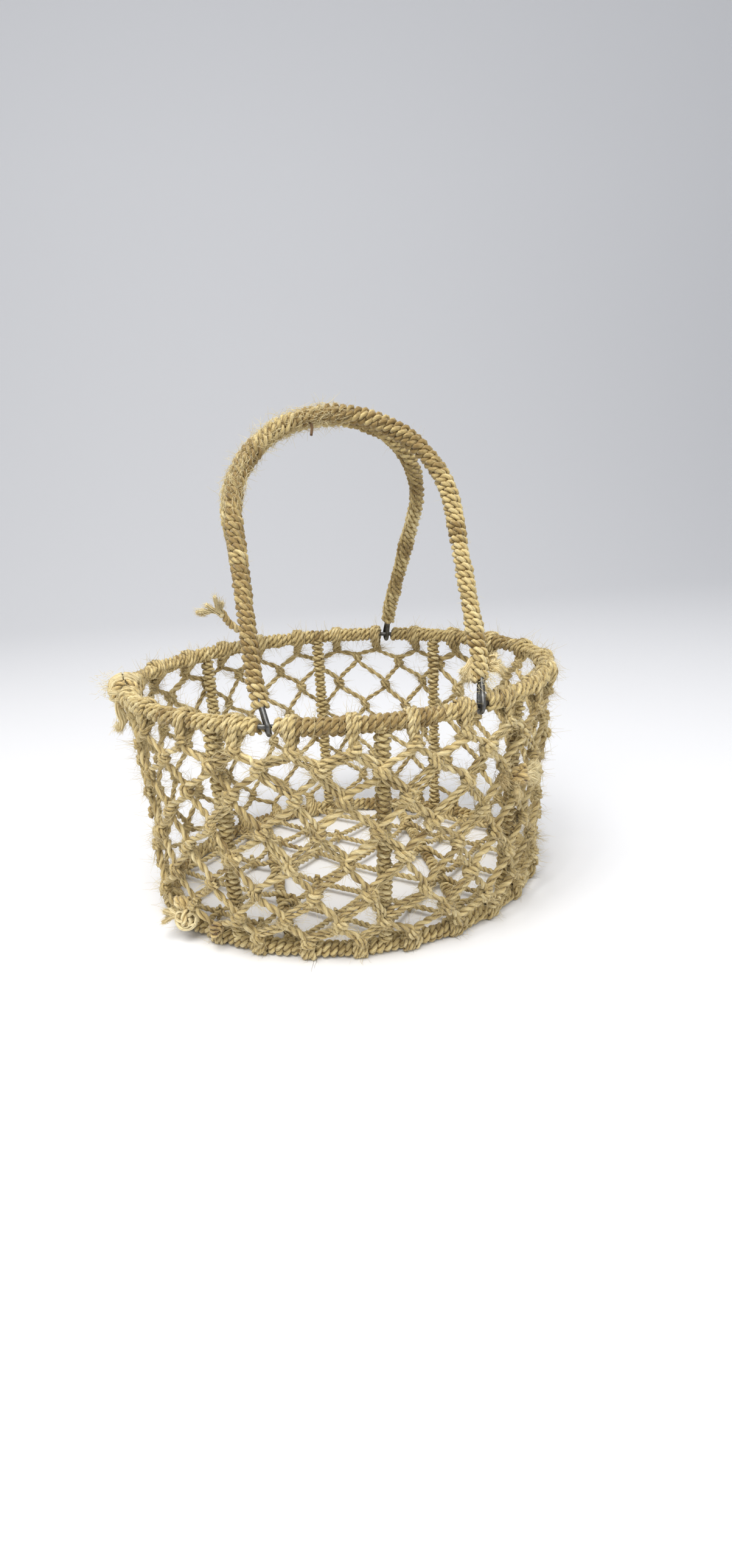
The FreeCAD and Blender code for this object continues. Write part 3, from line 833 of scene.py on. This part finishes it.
for name, (first, last, heft) in QUARTERS.items():
    skein = Skein("net_" + name)
    hitches = Skein("rim_hitches_" + name)
    feet = Skein("base_hitches_" + name, FLOOR_CLEARANCE)
    for column in range(first, last + 1):
        for row in range(len(ROW_HEIGHTS)):
            centre, outward, _ = knots[row, column]
            tightness = 0.85 if row == 0 else 1
            knot(skein, centre, outward, heft * tightness * rng.uniform(0.98, 1.2))
            if row + 1 < len(ROW_HEIGHTS):
                other = (column - 1 if row % 2 == 0 else column + 1) % COLUMNS
                for target in (column, other):
                    leg(skein, centre, knots[row + 1, target][0], outward, heft)
        hitch(hitches, rim_angle(column), knots[0, column][0], RIM_HITCH_R, rim)
        foot_angle = base_angle(column)
        outward = base.normal(foot_angle)
        foot = base.point(foot_angle) + outward * FOOT_OUT + UP * FOOT_RISE
        hitch(feet, foot_angle, foot, BASE_HITCH_R, base, 4)
        knot(feet, foot, outward, heft)
        for source in (column, (column + 1) % COLUMNS):
            centre, outward, _ = knots[len(ROW_HEIGHTS) - 1, source]
            leg(skein, centre, foot, outward, heft)
    hair = Skein("net_hair_" + name, FLOOR_CLEARANCE)
    hair.mat(skein, 2.1)
    hair.mat(hitches, 0.8)
    hair.mat(feet, 0.7)
    for part, node_name in ((skein, "side_net"), (hitches, "rim_hitches"), (feet, "base_hitches")):
        part.fuzz()
        part.build(NET, "basket", "net_twine", node_name)
    hair.build(NET, "basket", "net_twine", "side_net")

# ---------------------------------------------------------------- floor net

bar_x = sum(corner[0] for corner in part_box("floor_bar_wire_right")) / 2


def floor_place(x, y):
    """Points of the floor net, which rises over the bars."""
    near = np.exp(-((np.abs(x) - bar_x) / (7 * MM)) ** 2)
    return np.stack([x, y, FLOOR_NET_Z + FLOOR_NET_RISE * near], -1)


edge = base.point(np.linspace(0, 2 * math.pi, 361), -FLOOR_EDGE)
bearings = np.arctan2(edge[:, 1], edge[:, 0])
order = np.argsort(bearings)
bearings = bearings[order]
reaches = np.hypot(edge[:, 0], edge[:, 1])[order]


def inside_base(x, y):
    """Whether a point is inside the base ring, clear of its wire by FLOOR_EDGE."""
    return math.hypot(x, y) < np.interp(math.atan2(y, x), bearings, reaches, period=2 * math.pi)


skein = Skein("floor_net", FLOOR_CLEARANCE)
lattice = {}
cells = range(-FLOOR_REACH, FLOOR_REACH + 1)
for i in cells:
    for j in cells:
        x = (i + j) * FLOOR_MESH_X + rng.normal(0, 1.6 * MM)
        y = (i - j) * FLOOR_MESH_Y + rng.normal(0, 1.6 * MM)
        lattice[i, j] = (x, y)
for (i, j), (x, y) in lattice.items():
    if not inside_base(x, y):
        continue
    knot(skein, floor_place(x, y), np.array([0, 0.3, 0.95]), 1.1, FLOOR_KNOT_TWINE, FLOOR_KNOT_HAIRS)
    for di, dj in ((1, 0), (0, 1), (-1, 0), (0, -1)):
        nx, ny = lattice[i + di, j + dj]
        within = inside_base(nx, ny)
        if within and (di, dj) not in ((1, 0), (0, 1)):
            continue
        t = np.linspace(0, 1, 20)
        if not within:
            inside = [s for s in t if inside_base(x + (nx - x) * s, y + (ny - y) * s)]
            t = np.linspace(0, max(inside), 20)
        wave = 1.0 * MM * np.sin(t * math.pi)
        path = floor_place(x + (nx - x) * t + wave, y + (ny - y) * t - wave)
        skein.strand(path, FLOOR_TWINE, 10 * MM, UP, FLOOR_HAIRS)
skein.fuzz()
skein.build(NET, "basket", "net_twine", "floor_net_left", "floor_net_middle", "floor_net_right")

# ---------------------------------------------------------------- knots and frayed ends

skein = Skein("rim_end_knot_twine")
end_angle = math.radians(182)
end_place = rim.point(end_angle)
out = rim.normal(end_angle)
along_rim = np.cross(UP, out)
axes = (out, along_rim, UP)
for shift, radius in ((-6, 9.0), (-1, 10.5), (4, 9.5)):
    centre = shifted(end_place, axes, (2, shift, 1.5))
    skein.lock(around(centre, out, UP, radius * MM, -110, 150), out, 8 * MM, 3 * MM, 90, 0.34 * MM, 0.85)
for rise, radius in ((-2.5, 4.5), (2.5, 5.0)):
    bun = around(shifted(end_place, axes, (7, 4, rise)), -along_rim, out, radius * MM, -60, 230)
    skein.lock(bun, UP, 5 * MM, 4 * MM, 80, 0.3 * MM, 0.95)
for shift in (-8.5, 8):
    centre = shifted(end_place, axes, (1, shift, 0))
    skein.strand(around(centre, out, UP, 8.5 * MM, -150, 190, 40), 2.3 * MM, 10 * MM, out, FRAYED_HAIRS)
fall = shifted(end_place, axes, (5, 7, -4))
for swing, reach, tint in ((0, 4, 0.95), (1.5, 6, 0.8), (-1.5, 2, 0.7)):
    steps = ((0, 8), (4, 0), (3 + swing, -8), (1 + swing, -14), (3 + swing, -15 - reach),
             (4 + reach / 2, -13 - reach))
    drop = [shifted(fall, axes, (away, swing, rise)) for away, rise in steps]
    skein.lock(drop, along_rim, 3 * MM, 3 * MM, 40, 0.3 * MM, tint)
skein.tuft(shifted(fall, axes, (4, 0, -16)), out * 0.7 - UP, 6 * MM, 0.3, 120, 4 * MM)
skein.tuft(shifted(end_place, axes, (9, 0, 4)), out + UP * 0.4, 5 * MM, 0.7, 220, 9 * MM)
skein.fuzz()
skein.build(FRAY, "basket", "frayed_jute", "rim_end_knot")


def clump_place(node_name):
    """The middle of a clump's CAD node, and three axes there: along the net, out of it and up."""
    low, high = (np.array(corner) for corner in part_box(node_name))
    middle = (low + high) / 2
    outward = unit(np.array([middle[0], middle[1] * 1.3, 0]))
    return middle, (np.cross(UP, outward), outward, UP)


# A rosette of flat loops at the base's left corner. Each petal: across, up, radius and first angle.
PETALS = ((-3.6, 0.4, 4.2, 20), (4.0, -0.6, 4.6, -25), (0.4, -3.4, 3.6, 90), (0.5, 3.6, 3.4, 60))

middle, axes = clump_place("base_corner_clump")
heart = shifted(middle, axes, (9.6, -5, -1.5))
face = unit(np.array([-0.35, -0.85, 0.4]))
flat = unit(np.cross(UP, face))
lift = np.cross(face, flat)
rosette = (flat, lift, face)
skein = Skein("base_corner_clump_twine")
for across, rise, radius, tilt in PETALS:
    petal = around(shifted(heart, rosette, (across, rise, 0)), flat, lift, radius * MM, tilt, tilt + 335)
    skein.lock(petal, face, 1.7 * MM, 4.5 * MM, 40, 0.3 * MM, 1.0)
collar = around(shifted(heart, rosette, (0, -1, 0)), lift, flat, 7.6 * MM, 70, 290)
skein.lock(collar, face, 2.2 * MM, 3.5 * MM, 44, 0.32 * MM, 0.95)
drape = [shifted(heart, rosette, (0, rise, forward)) for rise, forward in ((9, 0), (4, 4), (0, 5), (-5, 2))]
skein.strand(smoothed(drape), 2.0 * MM, 9 * MM, face, 700.0, shade=0.15)
knot(skein, shifted(heart, rosette, (-2.5, 10.5, 0)), face, 1.5)
knot(skein, shifted(middle, axes, (35, -14, -3)), face, 1.3, shade=-0.12)
skein.fan(shifted(heart, rosette, (-5, 1, 0)), face * 0.2 - flat, face, 12 * MM, 55, 5, 0.85, 2.8 * MM)
skein.fuzz()
skein.build(FRAY, "basket", "frayed_jute", "base_corner_clump")

middle, axes = clump_place("net_clump")
sideways, out, _ = axes
heart = shifted(middle, axes, (0, -4, 2))
skein = Skein("net_clump_fibres")
knot(skein, shifted(heart, axes, (-3, 0, 0)), out, 1.5)
skein.fan(heart, out * 0.5 + sideways - UP * 0.1, out, 13 * MM, 80, 9, 1.0, 4 * MM)
lower = shifted(heart, axes, (-5, 0, -4))
skein.fan(lower, out * 0.5 - sideways - UP * 0.4, out, 10 * MM, 90, 5, 0.75, 3 * MM)
curl = shifted(heart, axes, (-20, -4, 3))
skein.lock(around(curl, sideways, UP, 3 * MM, -150, 150), out, 2.5 * MM, 3 * MM, 30, 0.28 * MM, 0.5)
skein.tuft(curl, out - UP * 0.4, 7 * MM, 0.5, 120, 4 * MM, tint=0.6)
skein.fuzz()
skein.build(FRAY, "basket", "frayed_jute", "net_clump")

_, outward, upward, hinge, seat = handle_route("front", -1, joints["front_handle"])
axes = (X, upward, outward)
foot = hinge + X * (seat + ELBOW_SPLAY["front"])
skein = Skein("front_handle_fibres")
left_root = shifted(foot, axes, (-5, 29, -1))
skein.fan(left_root, -X * 0.5 - upward * 0.9, outward, 14 * MM, 32, 5, 0.85, 3.4 * MM)
right_root = shifted(foot, axes, (5, 24, 0))
skein.fan(right_root, X + upward * 0.1, outward, 9 * MM, 75, 4, 0.8, 3 * MM)
for rise, radius in ((-1, 3.4), (4, 2.6)):
    loop = around(shifted(right_root, axes, (3, rise, 0)), X, UP, radius * MM, -160, 150)
    skein.lock(loop, outward, 1.6 * MM, 3 * MM, 24, 0.26 * MM, 0.7)
wrap_end = shifted(foot, axes, (0, 17, 0))
skein.tuft(wrap_end, X * 0.5 - upward * 0.4, 8 * MM, 0.8, 120, 9 * MM, 0.14 * MM)
stub = hinge + X * -14 * MM + upward * (BOW_HEIGHT - HANDLE_WINDING.outer)
fall = [shifted(stub, axes, (across, rise, 0)) for across, rise in ((0, 0), (0.6, -4), (-0.6, -9))]
skein.tube(resample(fall, 0.6 * MM)[0], 1.0 * MM, outward, 6, 0.02)
skein.build(FRAY, "front_handle", "frayed_jute", "front_handle_tufts")

_, outward, upward, hinge, seat = handle_route("back", 1, joints["back_handle"])
axes = (X, upward, outward)
foot = hinge - X * seat
skein = Skein("back_handle_tail_twine")
steps = ((-1, 16), (-9, 19), (-16, 28), (-20.5, 39))
stem = [shifted(foot, axes, (across, rise, 0)) for across, rise in steps]
skein.strand(smoothed(stem), 3.3 * MM, 10 * MM, outward, FRAYED_HAIRS)
brush = shifted(stem[-1], axes, (2, -4, 0))
skein.fan(brush, upward * 0.75 - X * 0.7, outward, 20 * MM, 80, 5, 0.9, 3.6 * MM)
skein.fuzz()
skein.build(FRAY, "back_handle", "frayed_jute", "back_handle_tail")

for name, obj in frame["nodes"].items():
    if "_wire" in name:
        obj.data.materials.clear()
        obj.data.materials.append(STEEL)

# ---------------------------------------------------------------- floor, light and camera

def pale_surface(name, colour):
    """A plain matt material."""
    material, _, surface = shader_tree(name)
    surface.inputs["Base Color"].default_value = (*colour, 1)
    surface.inputs["Roughness"].default_value = 0.9
    return material


def backdrop():
    """A pale floor that curves up into a wall far behind the basket."""
    half, front, depth, top, radius = 3.0, -3.0, 2.4, 3.5, 1.2
    bend = np.linspace(0, math.pi / 2, 24)
    curve = zip(depth - radius + radius * np.sin(bend), radius - radius * np.cos(bend))
    profile = [(front, 0.0), *curve, (depth, top)]
    points = [(x, y, z) for y, z in profile for x in (-half, half)]
    faces = [(2 * k, 2 * k + 1, 2 * k + 3, 2 * k + 2) for k in range(len(profile) - 1)]
    mesh = bpy.data.meshes.new("backdrop")
    mesh.from_pydata(points, [], faces)
    mesh.shade_smooth()
    obj = bpy.data.objects.new("backdrop", mesh)
    bpy.context.scene.collection.objects.link(obj)
    obj.data.materials.append(pale_surface("backdrop_white", (0.88, 0.885, 0.90)))


def area_light(name, place, size, power, colour):
    """A square light that faces the basket."""
    light = bpy.data.lights.new(name, "AREA")
    light.size = size
    light.energy = power
    light.color = colour
    obj = bpy.data.objects.new(name, light)
    obj.location = place
    obj.rotation_euler = (Vector((0, 0, 0.12)) - Vector(place)).to_track_quat("-Z", "Y").to_euler()
    bpy.context.scene.collection.objects.link(obj)


backdrop()
area_light("key", (-0.4, -0.5, 1.5), size=1.1, power=26, colour=(1.0, 0.98, 0.95))
area_light("fill", (1.1, -1.0, 0.9), size=1.4, power=6, colour=(0.95, 0.97, 1.0))
world = bpy.data.worlds.new("studio")
world.use_nodes = True
world.node_tree.nodes["Background"].inputs["Color"].default_value = (0.93, 0.95, 1.0, 1)
world.node_tree.nodes["Background"].inputs["Strength"].default_value = 0.47
bpy.context.scene.world = world
bpy.context.scene.view_settings.view_transform = "Standard"

middle = np.array([0, 0, rim.z / 2])
level = math.cos(CAMERA_ELEVATION)
toward_camera = np.array([math.sin(CAMERA_AZIMUTH) * level, -math.cos(CAMERA_AZIMUTH) * level,
                          math.sin(CAMERA_ELEVATION)])
camera = bpy.data.objects.new("camera", bpy.data.cameras.new("camera"))
camera.data.lens = CAMERA_LENS
camera.data.sensor_width = 36
camera.data.clip_start = 0.01
stand = Matrix.Translation(middle + toward_camera * CAMERA_DISTANCE)
turn = Matrix.Rotation(-CAMERA_TURN, 4, "Z")
pitch = Matrix.Rotation(math.pi / 2 - CAMERA_PITCH, 4, "X")
camera.matrix_world = stand @ turn @ pitch @ Matrix.Rotation(CAMERA_ROLL, 4, "Z")
bpy.context.scene.collection.objects.link(camera)
bpy.context.scene.camera = camera
